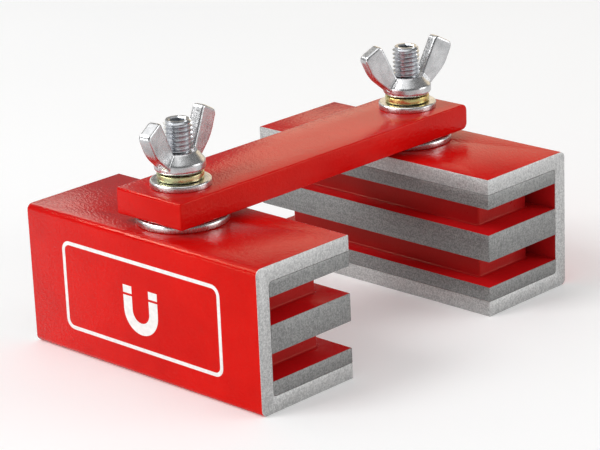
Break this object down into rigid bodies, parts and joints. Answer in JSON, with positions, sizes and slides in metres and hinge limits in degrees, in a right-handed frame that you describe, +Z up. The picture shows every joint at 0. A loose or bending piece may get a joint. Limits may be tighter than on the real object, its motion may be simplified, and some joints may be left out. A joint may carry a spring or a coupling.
{
  "type": "magnetic welding clamp",
  "caption": "Magnetic welding clamp: red channel-cased magnet blocks that swivel under the ends of a flat link bar and lock with wing nuts.",
  "frame": {"origin": "on the floor under the blocks, midway between the two studs", "axes": "+X along the blocks' length, +Y from the left block to the right block along the bar, +Z up along the studs"},
  "size_m": [0.09, 0.128, 0.071],
  "materials": {
    "bar_paint": "glossy red enamel on steel",
    "casing_paint": "glossy red enamel with a light orange peel, ground back to bare steel on the ends and lips",
    "magnet_paint": "red enamel",
    "ground_steel": "surface ground",
    "stud_zinc": "zinc plated",
    "washer_zinc": "bright zinc plated",
    "nut_zinc": "bright zinc plated, forged",
    "yellow_zinc": "yellow zinc plated"
  },
  "bodies": {
    "link": {"link_bar": "bar_paint", "left_flat_washer": "washer_zinc", "right_flat_washer": "washer_zinc"},
    "left_clamp": {"left_channel_casing": "casing_paint", "left_top_pole_plate": "ground_steel", "left_middle_pole_plate": "ground_steel", "left_bottom_pole_plate": "ground_steel", "left_upper_magnet": "magnet_paint", "left_lower_magnet": "magnet_paint", "left_stud": "stud_zinc", "left_spacer_washer": "washer_zinc"},
    "left_lock_ring": {"left_spring_washer": "yellow_zinc"},
    "left_nut": {"left_wing_nut": "nut_zinc"},
    "right_clamp": {"right_channel_casing": "casing_paint", "right_top_pole_plate": "ground_steel", "right_middle_pole_plate": "ground_steel", "right_bottom_pole_plate": "ground_steel", "right_upper_magnet": "magnet_paint", "right_lower_magnet": "magnet_paint", "right_stud": "stud_zinc", "right_spacer_washer": "washer_zinc"},
    "right_lock_ring": {"right_spring_washer": "yellow_zinc"},
    "right_nut": {"right_wing_nut": "nut_zinc"}
  },
  "joints": [
    {"name": "left_swivel", "type": "hinge", "parent": "link", "child": "left_clamp", "pos_m": [0, -0.0465, 0.0433], "axis": [0, 0, 1], "continuous": true},
    {"name": "left_nut_turn", "type": "hinge", "parent": "left_clamp", "child": "left_lock_ring", "pos_m": [0, -0.0465, 0.053], "axis": [0, 0, 1], "range_deg": [0, 3600]},
    {"name": "left_nut_lift", "type": "slide", "parent": "left_lock_ring", "child": "left_nut", "axis": [0, 0, 1], "range_m": [-0.0001, 0.0126]},
    {"name": "right_swivel", "type": "hinge", "parent": "link", "child": "right_clamp", "pos_m": [0, 0.0465, 0.0433], "axis": [0, 0, 1], "continuous": true},
    {"name": "right_nut_turn", "type": "hinge", "parent": "right_clamp", "child": "right_lock_ring", "pos_m": [0, 0.0465, 0.053], "axis": [0, 0, 1], "range_deg": [0, 3600]},
    {"name": "right_nut_lift", "type": "slide", "parent": "right_lock_ring", "child": "right_nut", "axis": [0, 0, 1], "range_m": [-0.0001, 0.0126]}
  ],
  "couplings": [
    {"joint": "left_nut_lift", "follows": "left_nut_turn", "m_per_rad": 0.00019894},
    {"joint": "right_nut_lift", "follows": "right_nut_turn", "m_per_rad": 0.00019894}
  ]
}
